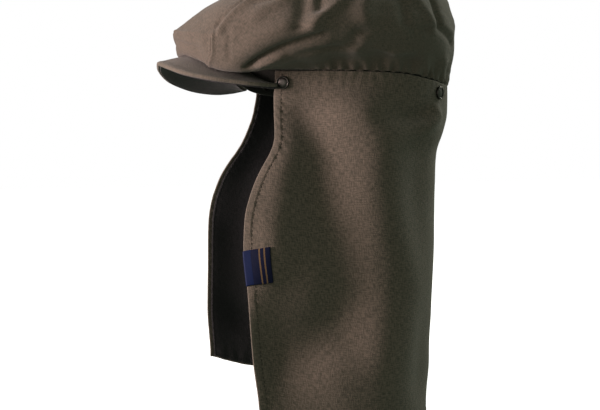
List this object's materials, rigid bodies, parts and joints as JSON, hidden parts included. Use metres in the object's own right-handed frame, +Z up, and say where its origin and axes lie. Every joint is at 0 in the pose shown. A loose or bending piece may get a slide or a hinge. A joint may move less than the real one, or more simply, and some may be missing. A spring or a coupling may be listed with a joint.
{
  "type": "legionnaire cap",
  "caption": "Baggy flat-style cloth cap with a short curved peak and a long lined neck cape closed onto its headband with press studs.",
  "frame": {"origin": "middle of the oval where the head sits, level with the crown seam at the temples", "axes": "+Z up, -Y toward the peak, +X toward the wearer's left"},
  "size_m": [0.2476, 0.2708, 0.4137],
  "materials": {
    "band_cloth": "dark plain-woven cotton band, in the shade of the crown",
    "crown_cloth": "matt olive-brown cotton, plain weave, softly creased",
    "peak_cloth": "matt olive-brown cotton over a stiff board, topstitched at the edge",
    "peak_under_cloth": "matt charcoal cloth under the peak",
    "cape_cloth": "matt olive-brown cotton, plain weave, in long soft folds, topstitched along its edges",
    "lining_cloth": "matt black lining",
    "stud_metal": "dark gunmetal press stud with a ringed face",
    "label_cloth": "bare navy woven label"
  },
  "bodies": {
    "root": {"headband": "band_cloth", "crown": "crown_cloth", "peak": "peak_cloth", "peak_lining": "peak_under_cloth", "neck_cape": "cape_cloth", "cape_lining": "lining_cloth", "press_stud_front_left": "stud_metal", "press_stud_front_right": "stud_metal", "press_stud_rear_left": "stud_metal", "press_stud_rear_right": "stud_metal", "side_label": "label_cloth"}
  },
  "joints": []
}
